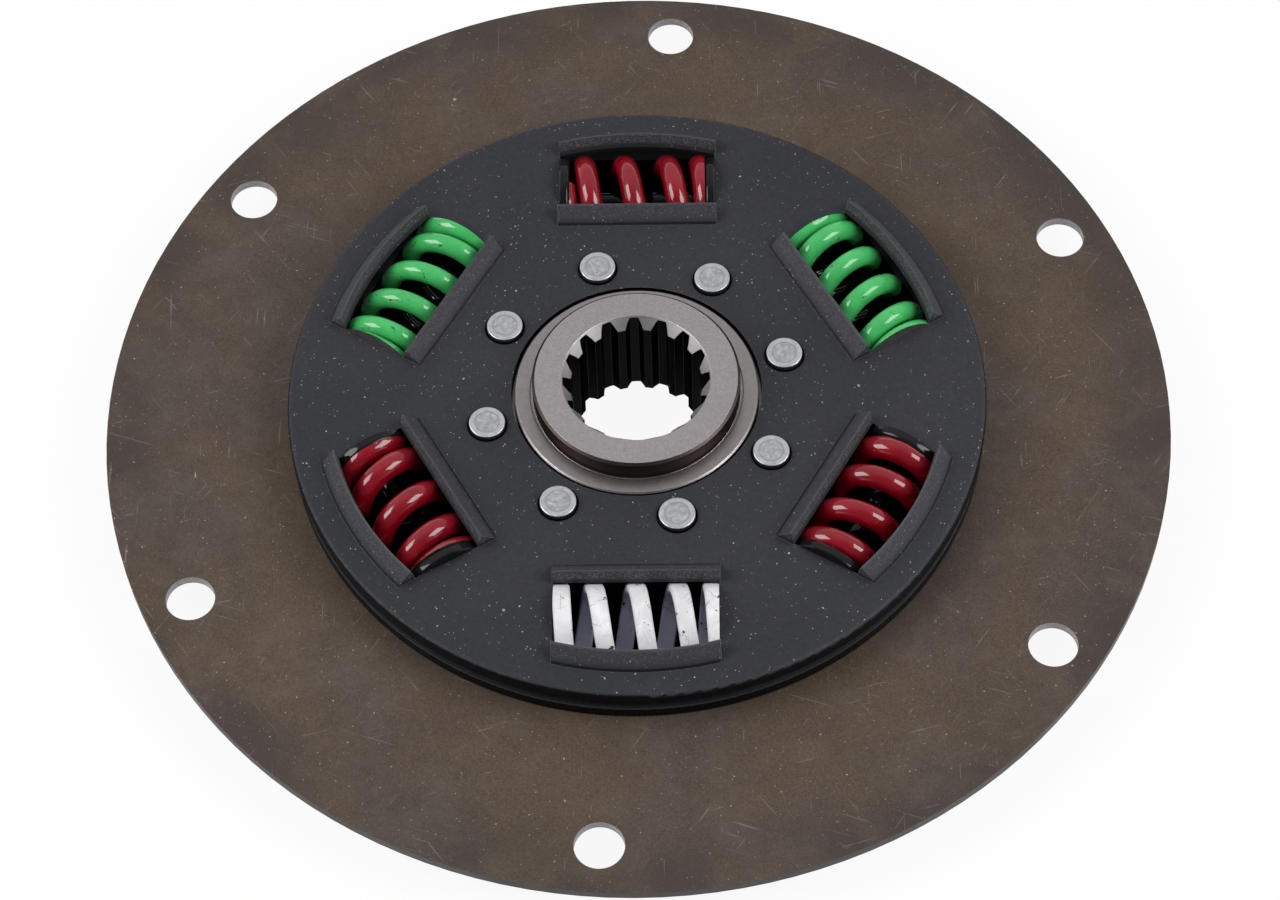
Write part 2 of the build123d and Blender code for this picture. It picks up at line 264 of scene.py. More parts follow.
# scale, turn, stretch, size, rarity, and the input that says how much
DUST_LAYERS = (
    (1250.0, 0.2, EVEN, 0.24, 9.0, "Specks"),
    (760.0, 0.0, EVEN, 0.18, 6.0, "Specks"),
    (340.0, 0.4, EVEN, 0.10, 5.0, "Specks"),
    (150.0, 0.9, EVEN, 0.062, 4.0, "Specks"),
    (95.0, 0.7, (1.0, 0.13, 1.0), 0.018, 3.0, "Fibres"),
    (85.0, 1.9, (1.0, 0.15, 1.0), 0.018, 3.0, "Fibres"),
    (90.0, 2.8, (1.0, 0.14, 1.0), 0.018, 3.0, "Fibres"),
)


def build_dust():
    tree, given, result = new_group("Dust", {"Specks": 1.0, "Fibres": 1.0}, {"Mask": MASK})
    place_at = object_place(tree)
    waves = add_node(tree, "ShaderNodeTexNoise", {"Vector": place_at, "Scale": BEND_SCALE, "Detail": 1.0})
    inputs = {0: waves.outputs["Color"], 1: (BEND, BEND, 0.0)}
    bend = add_node(tree, "ShaderNodeVectorMath", inputs, operation="MULTIPLY")
    bent = add_node(tree, "ShaderNodeVectorMath", {0: place_at, 1: bend.outputs[0]}, operation="ADD")
    layers = []
    for scale, turn, stretch, size, rarity, label in DUST_LAYERS:
        mapped = turn_and_stretch(tree, bent.outputs[0], turn, stretch)
        cells = add_node(tree, "ShaderNodeTexVoronoi", {"Vector": mapped, "Scale": scale})
        chance = add_node(tree, "ShaderNodeSeparateColor", {"Color": cells.outputs["Color"]})
        rare = math_node(tree, "POWER", chance.outputs[0], rarity)
        reach = times(tree, times(tree, rare, size), given.outputs[label])
        speck = math_node(tree, "LESS_THAN", cells.outputs["Distance"], reach)
        layers.append(times(tree, speck, spread(tree, chance.outputs[1], 0.4, 1.0)))
    feed(tree, result, Mask=strongest(tree, *layers))
    return tree


dust = build_dust()
print("group:", dust.name)

# %% [markdown]
# ## Blotches and mottle
# Rolled steel that has been browned is never one even colour. Two noises do
# it: a broad one for cloudy patches, a fine one for the grain of the sheet.

# %% Blotch group
CLOUD_RANGE = (0.32, 0.68)
GRAIN_RANGE = (0.3, 0.7)


def build_blotches():
    outputs = {"Cloud": MASK, "Grain": MASK}
    tree, given, result = new_group("Blotches", {"Broad": 14.0, "Fine": 260.0}, outputs)
    place_at = object_place(tree)
    broad = noise_at(tree, place_at, given.outputs["Broad"], 5.0, Roughness=0.55, Distortion=0.6)
    fine = noise_at(tree, place_at, given.outputs["Fine"], 4.0, Roughness=0.65)
    feed(tree, result, Cloud=fade(tree, broad, *CLOUD_RANGE), Grain=fade(tree, fine, *GRAIN_RANGE))
    return tree


blotches = build_blotches()
print("group:", blotches.name)

# %% [markdown]
# ## Scratches
# Handling leaves fine scratches in many directions. A noise that is stretched
# along one direction looks like parallel threads. Only its highest peaks are
# kept, and a second noise breaks them into short strokes. Five such layers,
# each turned its own way, cross each other.

# %% Scratch group
SCRATCH_TURNS = (0.35, 0.95, 1.6, 2.2, 2.9)
THREADS = (34.0, 1300.0, 34.0)
THREAD_PEAKS = (0.69, 0.73)
GAP_SCALE = 60.0
GAP_STEP = 13.0
GAP_PEAKS = (0.54, 0.66)


def build_scratches():
    tree, given, result = new_group("Scratches", {"Scale": 1.0, "Amount": 1.0}, {"Mask": MASK})
    place_at = object_place(tree)
    layers = []
    for number, turn in enumerate(SCRATCH_TURNS):
        mapped = turn_and_stretch(tree, place_at, turn, THREADS, (number, 0, 0))
        threads = noise_at(tree, mapped, given.outputs["Scale"], 1.0, Distortion=0.1)
        gaps = noise_at(tree, place_at, GAP_SCALE + GAP_STEP * number, 2.0)
        layers.append(times(tree, fade(tree, threads, *THREAD_PEAKS), fade(tree, gaps, *GAP_PEAKS)))
    total = times(tree, strongest(tree, *layers), given.outputs["Amount"], clamp=True)
    feed(tree, result, Mask=total)
    return tree


scratches = build_scratches()
print("group:", scratches.name)

# %% [markdown]
# ## Worn edges
# Paint and oxide rub off where two faces meet. The Bevel node gives the normal
# that a rounded edge would have. Where it differs from the true normal, there
# is an edge, so their dot product makes a mask. The same rounded normal also
# lets hard CAD edges catch the light, as every real edge does.

# %% Edge group
EDGE_RANGE = (0.02, 0.16)
EDGE_LOSS = 0.2


def build_edges():
    inputs = {"Radius": 0.4 * MM, "Raggedness": 0.5}
    tree, given, result = new_group("Edges", inputs, {"Mask": MASK, "Normal": NORMAL})
    rounded = add_node(tree, "ShaderNodeBevel", {"Radius": given.outputs["Radius"]}, samples=6).outputs[0]
    true_normal = add_node(tree, "ShaderNodeNewGeometry").outputs["Normal"]
    agree = add_node(tree, "ShaderNodeVectorMath", {0: rounded, 1: true_normal}, operation="DOT_PRODUCT")
    rag = noise_at(tree, object_place(tree), 700.0, 3.0)
    loss = times(tree, fade(tree, rag, 0.4, 0.6), given.outputs["Raggedness"])
    edge = minus(tree, 1.0, agree.outputs["Value"])
    edge = minus(tree, edge, times(tree, loss, EDGE_LOSS))
    feed(tree, result, Mask=fade(tree, edge, *EDGE_RANGE), Normal=rounded)
    return tree


edges = build_edges()
print("group:", edges.name)

# %% [markdown]
# ## Where on the part
# Some finishes depend on the place. The plate is painted black as shade where
# the covers hide it, the hub's bore is painted black as shade, and the springs
# deep in their windows are painted darker as shade. This small group gives the distance from the axis, how
# far
# a face looks up or down the axis, and the height along it. "Outward" is above
# zero on the outer faces of the covers, and below it inside them.

# %% Place group
MID_PLANE = 5.2 * MM


def build_around_axis():
    outputs = {"Radius": MASK, "Upright": MASK, "Height": MASK, "Outward": MASK}
    tree, _, result = new_group("Around the axis", {}, outputs)
    given_place = add_node(tree, "ShaderNodeTexCoord").outputs
    x, y, height = split(tree, given_place["Object"])
    flat = add_node(tree, "ShaderNodeCombineXYZ", {"X": x, "Y": y, "Z": 0.0})
    radius = add_node(tree, "ShaderNodeVectorMath", {0: flat.outputs[0]}, operation="LENGTH")
    facing = split(tree, given_place["Normal"])[2]
    side = math_node(tree, "SIGN", minus(tree, height, MID_PLANE))
    feed(tree, result, Radius=radius.outputs["Value"], Upright=math_node(tree, "ABSOLUTE", facing))
    feed(tree, result, Height=height, Outward=times(tree, side, facing))
    return tree


around_axis = build_around_axis()
print("group:", around_axis.name)

# %% [markdown]
# ## Turning lines
# A lathe leaves fine rings round the axis. The distance from the axis drives a
# one-dimensional noise, so every ring has its own tone. The height is added
# to it, which draws the rings on walls along the axis too.

# %% Turning group
def build_turning():
    tree, given, result = new_group("Turning", {"Rings": 2600.0}, {"Mask": MASK})
    place = use_group(tree, around_axis)
    along = math_node(tree, "ADD", place["Radius"], place["Height"])
    inputs = {"W": times(tree, along, given.outputs["Rings"]), "Scale": 1.0, "Detail": 3.0}
    rings = add_node(tree, "ShaderNodeTexNoise", inputs, noise_dimensions="1D")
    feed(tree, result, Mask=fade(tree, rings.outputs["Fac"], 0.25, 0.75))
    return tree


turning = build_turning()
print("group:", turning.name)

# %% [markdown]
# ## Starting a material
# Each finish keeps its own Principled BSDF. `start_material` makes it with the
# plain values that hold all over the surface. What varies is wired in later.

# %% Start a material
def start_material(name, **plain):
    material = bpy.data.materials.new(name)
    material.use_nodes = True
    tree = material.node_tree
    shader = tree.nodes["Principled BSDF"]
    feed(tree, shader, **plain)
    return material, tree, shader


def bump(tree, shader, height, strength, distance, **more):
    """Feeds a height to the shader's normal through a Bump node."""
    inputs = {"Height": height, "Strength": strength, "Distance": distance, **more}
    feed(tree, shader, Normal=add_node(tree, "ShaderNodeBump", inputs).outputs[0])


def dress(names, material):
    """Gives CAD nodes one material."""
    for name in names:
        node = nodes[name]
        node.data.materials.clear()
        node.data.materials.append(material)
    print(material.name, "on", ", ".join(names))


# %% [markdown]
# ## The browned drive plate
# The large plate is bare rolled steel with a brown-grey oxide. It is a metal
# under a thin dull film, so the shader is about a third metallic and fairly
# rough. Broad clouds shift it between brown and grey, scratches show paler
# metal, and it darkens towards the rim. The sheared walls of the bolt holes
# are bright. The outer rim's side is painted nearly black as shade, a black
# metal that mirrors little, and where the covers hide the plate it is painted
# black as shade.

# %% Drive plate material
COVER_EDGE = 107.7 * MM
STAIN_START = 140.0 * MM
PLATE_RIM = 163.0 * MM
PLATE_SIDE = (0.3, 0.6)


def plate_material():
    material, tree, shader = start_material("Browned plate", IOR=1.4)
    patches = use_group(tree, blotches, Broad=17.0, Fine=1500.0)
    stains = use_group(tree, blotches, Broad=58.0, Fine=430.0)
    smudges = use_group(tree, blotches, Broad=31.0, Fine=150.0)
    marks = use_group(tree, scratches, Scale=1.0, Amount=0.8)
    specks = use_group(tree, dust, Specks=0.9, Fibres=0.9)
    rims = use_group(tree, edges, Radius=0.3 * MM, Raggedness=0.6)
    place = use_group(tree, around_axis)
    radius, upright = place["Radius"], place["Upright"]
    color = mix_color(tree, patches["Cloud"], (0.118, 0.077, 0.041, 1), (0.095, 0.071, 0.062, 1))
    color = tint(tree, color, stains["Cloud"], 0.5, (0.074, 0.055, 0.045, 1))
    color = tint(tree, color, stains["Grain"], 0.35, (0.132, 0.100, 0.078, 1))
    color = tint(tree, color, patches["Grain"], 0.75, (0.046, 0.033, 0.027, 1))
    haze = times(tree, smudges["Cloud"], smudges["Grain"])
    color = tint(tree, color, haze, 0.25, (0.165, 0.135, 0.115, 1))
    outer = fade(tree, radius, STAIN_START, PLATE_RIM)
    outer = times(tree, outer, spread(tree, smudges["Cloud"], 0.75, 0.1))
    color = mix_color(tree, outer, color, (0.050, 0.040, 0.037, 1))
    color = tint(tree, color, marks["Mask"], 0.42, (0.30, 0.27, 0.24, 1))
    color = tint(tree, color, rims["Mask"], 0.4, (0.30, 0.28, 0.27, 1))
    color = mix_color(tree, specks["Mask"], color, (0.42, 0.38, 0.33, 1))
    wall = fade_out(tree, upright, *PLATE_SIDE)
    sheared = times(tree, wall, spread(tree, patches["Grain"], 0.6, 1.0))
    color = mix_color(tree, sheared, color, (0.36, 0.34, 0.36, 1))
    # Painted shade: the outer rim's side nearly black, and more metallic
    rim = times(tree, wall, fade(tree, radius, PLATE_RIM, PLATE_RIM + MM))
    color = tint(tree, color, rim, 0.9, (0.040, 0.036, 0.034, 1))
    # Painted shade: black where the covers hide the plate
    painted_shade_under_covers = fade_out(tree, radius, COVER_EDGE - MM, COVER_EDGE)
    color = mix_color(tree, painted_shade_under_covers, color, (0.004, 0.004, 0.004, 1))
    rough = spread(tree, patches["Cloud"], 0.52, 0.42)
    feed(tree, shader, Base_Color=color, Roughness=rough, Metallic=spread(tree, rim, 0.3, 0.9))
    bump(tree, shader, stains["Grain"], 0.10, 0.1 * MM, Normal=rims["Normal"])
    return material


dress(["drive_plate"], plate_material())

# %% [markdown]
# ## The charcoal covers
# The two covers and the disc between them are pressed steel with a matte
# charcoal coating. The coating is nearly black, so what we see is mostly its
# soft sheen. Edges are rubbed slightly paler and dust shows clearly. Shade is
# painted black in a ring round each rivet, in the creases, on the outer walls
# and on the sides that look into the windows, and the lips carry painted light.

# %% Rivet ring group
RIVET_COUNT = 8
RIVET_CIRCLE = 47.35 * MM
RIVET_START = 58.2
RING_INNER = 6.1 * MM
RING_OUTER = 6.45 * MM


def build_rivet_rings():
    """A ring of painted shade round each rivet: the angle is folded onto one rivet."""
    tree, _, result = new_group("Rivet rings", {}, {"Mask": MASK, "Distance": MASK})
    parts = split(tree, object_place(tree))
    angle = math_node(tree, "ARCTAN2", parts[1], parts[0])
    angle = minus(tree, angle, math.radians(RIVET_START))
    step = 2 * math.pi / RIVET_COUNT
    nearest = math_node(tree, "SNAP", math_node(tree, "ADD", angle, step / 2), step)
    angle = minus(tree, angle, nearest)
    radius = use_group(tree, around_axis)["Radius"]
    out = times(tree, radius, math_node(tree, "COSINE", angle))
    out = minus(tree, out, RIVET_CIRCLE)
    side = times(tree, radius, math_node(tree, "SINE", angle))
    squares = math_node(tree, "ADD", times(tree, out, out), times(tree, side, side))
    distance = math_node(tree, "SQRT", squares)
    feed(tree, result, Mask=fade_out(tree, distance, RING_INNER, RING_OUTER), Distance=distance)
    return tree


rivet_rings = build_rivet_rings()
print("group:", rivet_rings.name)


# %% Cover material
RIM_START = 104.5 * MM
CARRIER_INSIDE = 99.0 * MM
COVER_FACE = 16.2 * MM
CUT_BOTTOM = 16.2 * MM
RIDGE_START = 19.0 * MM
LIP_TIP = 20.7 * MM
CUT_SIDE = (0.4, 0.55)
OUTER_SIDE = (0.45, 0.85)
LOOKS_INWARDS = (-0.12, -0.03)


def cover_material(name, low, high, edge_color, edge_share, specks_share, inside):
    """The coating, which turns black nearer the axis than inside.

    Painted shade: the black nearer the axis, and the black that takes the sheen
    from the creases, the rings round the rivets, the outer walls and the sides
    that look into the windows. A black metal mirrors nothing, so these masks
    also drive Metallic.
    """
    material, tree, shader = start_material(name, IOR=1.33)
    patches = use_group(tree, blotches, Broad=16.0, Fine=900.0)
    rubs = use_group(tree, blotches, Broad=120.0, Fine=1700.0)
    specks = use_group(tree, dust, Specks=specks_share, Fibres=specks_share)
    rims = use_group(tree, edges, Radius=0.5 * MM, Raggedness=0.6)
    rings = use_group(tree, rivet_rings)["Mask"]
    place = use_group(tree, around_axis)
    height, radius, upright = place["Height"], place["Radius"], place["Upright"]
    color = mix_color(tree, patches["Cloud"], low, high)
    color = tint(tree, color, patches["Grain"], 0.3, (0.012, 0.012, 0.014, 1))
    color = tint(tree, color, rims["Mask"], edge_share, edge_color)
    color = mix_color(tree, specks["Mask"], color, (0.42, 0.42, 0.42, 1))
    # Painted shade: a black ring round each rivet, with no sheen
    color = mix_color(tree, rings, color, (0.003, 0.003, 0.003, 1))
    # The lips: painted light makes them a little paler; scuffed most on their cut sides; a painted
    # highlight, partly rubbed wear, on the ridge
    painted_lip_light = fade(tree, height, COVER_FACE + 0.7 * MM, COVER_FACE + 2 * MM, 0.0, 0.3)
    color = mix_color(tree, painted_lip_light, color, (0.043, 0.044, 0.053, 1))
    scuffs = fade(tree, rubs["Grain"], 0.45, 0.9, 0.1, 0.75)
    scuffs = times(tree, scuffs, fade(tree, height, COVER_FACE + MM, LIP_TIP - 2 * MM))
    scuffs = times(tree, scuffs, fade(tree, upright, 0.4, 0.6, 1.0, 0.3))
    color = mix_color(tree, scuffs, color, (0.15, 0.15, 0.165, 1))
    ridge_highlight_and_wear = times(tree, rims["Mask"], fade(tree, height, RIDGE_START, LIP_TIP))
    ridge_highlight_and_wear = times(tree, ridge_highlight_and_wear, fade(tree, patches["Grain"], 0.35, 0.7, 0.1, 0.8))
    color = mix_color(tree, ridge_highlight_and_wear, color, (0.30, 0.30, 0.32, 1))
    # Painted shade in the crease at the foot of each lip, and a painted highlight on the rounded tip
    foot = fade(tree, height, COVER_FACE + 0.05 * MM, COVER_FACE + 0.15 * MM)
    painted_crease_shade = times(tree, foot, fade(tree, height, COVER_FACE + 0.5 * MM, COVER_FACE + MM, 0.6, 0.0))
    painted_crease_shade = times(tree, painted_crease_shade, fade(tree, upright, *CUT_SIDE))
    color = mix_color(tree, painted_crease_shade, color, (0.006, 0.006, 0.007, 1))
    painted_tip_highlight = fade(tree, height, LIP_TIP, LIP_TIP + 0.5 * MM, 0.0, 0.7)
    color = mix_color(tree, painted_tip_highlight, color, (0.075, 0.076, 0.085, 1))
    # Painted shade on the outer walls, and on the sides that look inwards or into a window
    outer = fade(tree, radius, RIM_START, RIM_START + MM)
    side = times(tree, outer, fade_out(tree, upright, *OUTER_SIDE))
    color = mix_color(tree, side, color, (0.004, 0.004, 0.005, 1))
    cut = fade_out(tree, upright, *CUT_SIDE)
    cut = times(tree, cut, fade_out(tree, height, CUT_BOTTOM - 0.3 * MM, CUT_BOTTOM))
    cut = times(tree, cut, minus(tree, 1.0, outer))
    painted_hollow_shade = strongest(tree, fade_out(tree, place["Outward"], *LOOKS_INWARDS), cut)
    color = mix_color(tree, painted_hollow_shade, color, (0.004, 0.004, 0.004, 1))
    # Painted shade: where these masks are on, Metallic paints out the sheen
    sheen_painted_out = strongest(tree, times(tree, side, 0.5), painted_crease_shade, rings, times(tree, painted_hollow_shade, 0.9))
    # Painted shade: black nearer the axis than inside
    painted_inner_shade = fade_out(tree, radius, inside, inside + MM)
    color = mix_color(tree, painted_inner_shade, color, (0.006, 0.006, 0.007, 1))
    rough = spread(tree, patches["Grain"], 0.5, 0.66)
    feed(tree, shader, Base_Color=color, Roughness=rough, Metallic=sheen_painted_out)
    bump(tree, shader, patches["Grain"], 0.18, 0.1 * MM, Normal=rims["Normal"])
    return material


coats = (0.025, 0.026, 0.031, 1), (0.031, 0.032, 0.038, 1), (0.12, 0.12, 0.13, 1)
dress(["front_cover", "rear_cover"], cover_material("Charcoal coating", *coats, 0.75, 1.0, 0.0))
dress(["carrier_disc"], cover_material("Carrier coating", *coats, 0.4, 0.5, CARRIER_INSIDE))

# %% [markdown]
# ## The hub's machined steel
# The hub is turned steel. Its faces are bright but soft, with rings round the
# axis, and a painted highlight makes the shoulder's edge a thin bright line.
# Metals turn white where they are seen at a slant. A darker Specular Tint takes
# most of that away. The boss wall and the bore are painted dark as shade, and
# the lead-ins of the teeth, cut last, are the brightest steel of all.

# %% Hub material
BORE_EDGE = 22.9 * MM
BOSS_WALL = 32.0 * MM
TOOTH_SIDE = (0.30, 0.48)
BOSS_SIDE = (0.73, 0.79)
LEAD_IN = (0.9, 0.95)


def hub_material():
    tinted = (0.25, 0.25, 0.25, 1)
    material, tree, shader = start_material("Machined steel", Metallic=1.0, Specular_Tint=tinted)
    rings = use_group(tree, turning, Rings=5200.0)
    patches = use_group(tree, blotches, Broad=30.0, Fine=1300.0)
    pits = use_group(tree, blotches, Broad=650.0, Fine=420.0)
    rims = use_group(tree, edges, Radius=0.25 * MM, Raggedness=0.2)
    specks = use_group(tree, dust, Specks=0.6, Fibres=0.3)
    place = use_group(tree, around_axis)
    radius, upright = place["Radius"], place["Upright"]
    color = mix_color(tree, rings["Mask"], (0.52, 0.483, 0.497, 1), (0.60, 0.557, 0.571, 1))
    color = tint(tree, color, patches["Grain"], 0.5, (0.33, 0.30, 0.31, 1))
    color = tint(tree, color, patches["Cloud"], 0.25, (0.44, 0.40, 0.405, 1))
    color = tint(tree, color, pits["Cloud"], 0.22, (0.30, 0.27, 0.275, 1))
    shoulder = fade(tree, radius, BOSS_WALL + 0.3 * MM, BOSS_WALL + 0.6 * MM, 0.0, 0.75)
    stain = times(tree, shoulder, spread(tree, pits["Grain"], 0.75, 1.0))
    color = mix_color(tree, stain, color, (0.33, 0.305, 0.30, 1))
    inside = fade_out(tree, radius, BORE_EDGE + MM, BORE_EDGE + 2 * MM)
    outside = minus(tree, 1.0, inside)
    # Painted shade: the walls of the bore are black
    painted_bore_shade = times(tree, inside, fade_out(tree, upright, *TOOTH_SIDE))
    slope = minus(tree, fade_out(tree, upright, *LEAD_IN), painted_bore_shade, clamp=True)
    lead_in = times(tree, inside, slope)
    cuts = mix_color(tree, rings["Mask"], (0.34, 0.33, 0.33, 1), (0.80, 0.78, 0.78, 1))
    color = mix_color(tree, lead_in, color, cuts)
    # Painted shade: the boss wall is dark
    boss = fade_out(tree, radius, BOSS_WALL + MM, BOSS_WALL + 2 * MM)
    wall = times(tree, fade_out(tree, upright, *BOSS_SIDE), outside)
    color = tint(tree, color, wall, boss, (0.085, 0.070, 0.067, 1))
    color = mix_color(tree, painted_bore_shade, color, (0.017, 0.016, 0.016, 1))
    # Painted highlight: a thin bright line on the shoulder's edge
    painted_edge_highlight = fade(tree, radius, BOSS_WALL + MM, BOSS_WALL + 2 * MM, 0.12, 0.7)
    painted_edge_highlight = times(tree, painted_edge_highlight, rims["Mask"])
    color = mix_color(tree, painted_edge_highlight, color, (0.72, 0.70, 0.68, 1))
    color = tint(tree, color, specks["Mask"], 0.5, (0.12, 0.10, 0.10, 1))
    rough = spread(tree, patches["Grain"], 0.32, 0.42)
    rough = math_node(tree, "ADD", rough, times(tree, lead_in, 0.1))
    feed(tree, shader, Base_Color=color, Roughness=rough)
    bump(tree, shader, patches["Grain"], 0.10, 0.05 * MM, Normal=rims["Normal"])
    return material


dress(["hub"], hub_material())

# %% [markdown]
# ## Rivets, rings and seats
# The rivets are dull grey steel. The press leaves a rough middle with a round
# mark about it, and the side of the head is painted dark as shade. The friction rings and the
# disc spring are sealed in between the covers. The spring seats are glossy
# black.

# %% Rivet, ring and seat materials
ROUGH_REACH = (3.4 * MM, 4.0 * MM)
MARK_INNER = 3.3 * MM
MARK_OUTER = 4.2 * MM
MARK_BLUR = 0.4 * MM
SHADED_HEAD_SIDE = (0.45, 0.8)


def rivet_material():
    material, tree, shader = start_material("Rivet steel", Metallic=0.9)
    patches = use_group(tree, blotches, Broad=520.0, Fine=1900.0)
    dents = use_group(tree, blotches, Broad=620.0, Fine=260.0)
    rims = use_group(tree, edges, Radius=0.4 * MM, Raggedness=0.3)
    upright = use_group(tree, around_axis)["Upright"]
    distance = use_group(tree, rivet_rings)["Distance"]
    middle = fade(tree, distance, *ROUGH_REACH, 1.0, 0.15)
    color = mix_color(tree, patches["Cloud"], (0.52, 0.53, 0.545, 1), (0.66, 0.67, 0.685, 1))
    rough_middle = times(tree, dents["Cloud"], middle)
    color = tint(tree, color, rough_middle, 0.55, (0.27, 0.275, 0.29, 1))
    mark = fade(tree, distance, MARK_INNER, MARK_INNER + MARK_BLUR)
    mark = times(tree, mark, fade(tree, distance, MARK_OUTER - MARK_BLUR, MARK_OUTER, 0.55, 0.0))
    color = mix_color(tree, mark, color, (0.28, 0.285, 0.295, 1))
    # Painted shade: the side of each head is dark
    side = fade_out(tree, upright, *SHADED_HEAD_SIDE)
    color = mix_color(tree, side, color, (0.11, 0.11, 0.115, 1))
    color = tint(tree, color, rims["Mask"], 0.2, (0.6, 0.6, 0.6, 1))
    feed(tree, shader, Base_Color=color, Roughness=spread(tree, patches["Grain"], 0.36, 0.55))
    bump(tree, shader, rough_middle, 0.6, 0.1 * MM, Normal=rims["Normal"])
    return material


def plain_finish(name, low, high, rough, broad=90.0, **plain):
    """A finish of one colour and one gloss, both a little uneven."""
    material, tree, shader = start_material(name, **plain)
    patches = use_group(tree, blotches, Broad=broad, Fine=900.0)
    feed(tree, shader, Base_Color=mix_color(tree, patches["Cloud"], low, high))
    feed(tree, shader, Roughness=spread(tree, patches["Grain"], *rough))
    return material


rivet_steel = rivet_material()
dress(["hub_rivets", "carrier_rivets"], rivet_steel)
lining = plain_finish("Friction lining", (0.03, 0.027, 0.024, 1), (0.05, 0.045, 0.04, 1), (0.7, 0.85))
dress(["front_friction_ring", "rear_friction_ring"], lining)
spring_steel = plain_finish(
    "Spring steel", (0.2, 0.2, 0.21, 1), (0.3, 0.3, 0.31, 1), (0.3, 0.45), Metallic=1.0
)
dress(["disc_spring"], spring_steel)
seat_black = plain_finish(
    "Black seat", (0.004, 0.004, 0.005, 1), (0.008, 0.008, 0.009, 1), (0.06, 0.12), Specular_IOR_Level=0.3
)
dress(sorted(name for name in nodes if name.startswith("seat_")), seat_black)

# %% [markdown]
# ## Spring paint
# Each spring rate has its colour, so that a fitter can tell them apart. The
# red and green wires are glossy enamel, the flat white wire is matte and worn.
# Chips are the rare peaks of a noise, dark with old oil. Deep in the windows
# each paint is painted darker as shade, turning to its gloom, the colour that little light leaves of it.

# %% Paint materials
DARK_HEIGHT = 5.0 * MM
CLEAR_HEIGHT = 10.5 * MM


def paint_material(name, light, deep, rough, coat, chips, dirt, gloom, scuffs=0.0):
    plain = dict(Coat_Weight=coat, Coat_Roughness=0.03, Specular_IOR_Level=0.12)
    material, tree, shader = start_material(name, **plain)
    patches = use_group(tree, blotches, Broad=130.0, Fine=520.0)
    specks = use_group(tree, dust, Specks=0.45, Fibres=0.1)
    height = use_group(tree, around_axis)["Height"]
    flaking = noise_at(tree, object_place(tree), 300.0, 5.0, Roughness=0.7)
    chipped = fade(tree, flaking, 1.0 - chips, 1.02 - chips)
    color = mix_color(tree, patches["Cloud"], deep, light)
    color = tint(tree, color, patches["Grain"], dirt, deep)
    color = mix_color(tree, specks["Mask"], color, (0.6, 0.58, 0.55, 1))
    # Painted shade: deep in the windows the paint turns to its gloom
    painted_depth_shade = fade_out(tree, height, DARK_HEIGHT, CLEAR_HEIGHT)
    color = mix_color(tree, painted_depth_shade, color, gloom)
    marks = use_group(tree, scratches, Scale=2.6, Amount=scuffs)
    color = mix_color(tree, marks["Mask"], color, (0.05, 0.05, 0.055, 1))
    color = mix_color(tree, chipped, color, (0.02, 0.018, 0.018, 1))
    feed(tree, shader, Base_Color=color, Roughness=spread(tree, patches["Grain"], *rough))
    uneven = spread(tree, patches["Grain"], 0.0, 0.3)
    bump(tree, shader, minus(tree, uneven, chipped), 0.4, 0.1 * MM)
    return material


red_paint = paint_material(
    "Red paint", (0.26, 0.0025, 0.012, 1), (0.18, 0.0018, 0.008, 1), (0.2, 0.28), 1.0, 0.34, 0.25,
    (0.006, 0.0005, 0.0005, 1)
)
green_paint = paint_material(
    "Green paint", (0.06, 0.48, 0.13, 1), (0.05, 0.39, 0.105, 1), (0.22, 0.3), 0.9, 0.36, 0.3,
    (0.0006, 0.004, 0.001, 1)
)
white_paint = paint_material(
    "White paint", (0.80, 0.80, 0.82, 1), (0.62, 0.61, 0.63, 1), (0.45, 0.6), 0.0, 0.37, 0.5,
    (0.40, 0.40, 0.52, 1), scuffs=0.6
)
ground_steel = plain_finish(
    "Ground spring end", (0.35, 0.34, 0.33, 1), (0.5, 0.49, 0.47, 1), (0.3, 0.5), broad=200.0, Metallic=1.0
)
print("paints:", red_paint.name, green_paint.name, white_paint.name)

# %% [markdown]
# ## The coil springs
# A coil spring is a wire section carried along a helix. The end turns are
# closed, so the pitch is small there, and their faces are ground flat. The
# mesh is built ring by ring. The pitch changes smoothly from closed to open,
# and every point past the ground face is pushed back onto it, which leaves the
# flat crescent that grinding leaves.

# %% Spring shapes
WINDOW_STEP = 60.0
FIRST_WINDOW = 28.1
SPRING_CIRCLE = 80.0 * MM
SPRING_RADIUS = 14.95 * MM
WINDOW_LENGTH = 49.4 * MM
SEAT_THICKNESS = 3.1 * MM
RINGS_PER_TURN = 72
BLEND_TURNS = 0.3
GROUND_SLOT = 1
SPRING_SHARP = 35.0
SAME_PLACE = 1e-7
ON_THE_END = 1e-6


def full_turn(count):
    """The angles that divide a full turn evenly."""
    return [2 * math.pi * i / count for i in range(count)]


def round_section(radius, count=28):
    """Points round a wire's section: outwards and along the spring."""
    return [(radius * math.cos(turn), radius * math.sin(turn)) for turn in full_turn(count)]


def flat_section(thickness, width, edge, count=6):
    """Points round a flat wire with rounded edges."""
    points = []
    for quarter in range(4):
        side_x = 1 if quarter in (0, 3) else -1
        side_y = 1 if quarter in (0, 1) else -1
        for i in range(count + 1):
            angle = math.pi / 2 * (quarter + i / count)
            x = side_x * (thickness / 2 - edge) + edge * math.cos(angle)
            y = side_y * (width / 2 - edge) + edge * math.sin(angle)
            points.append((x, y))
    return points


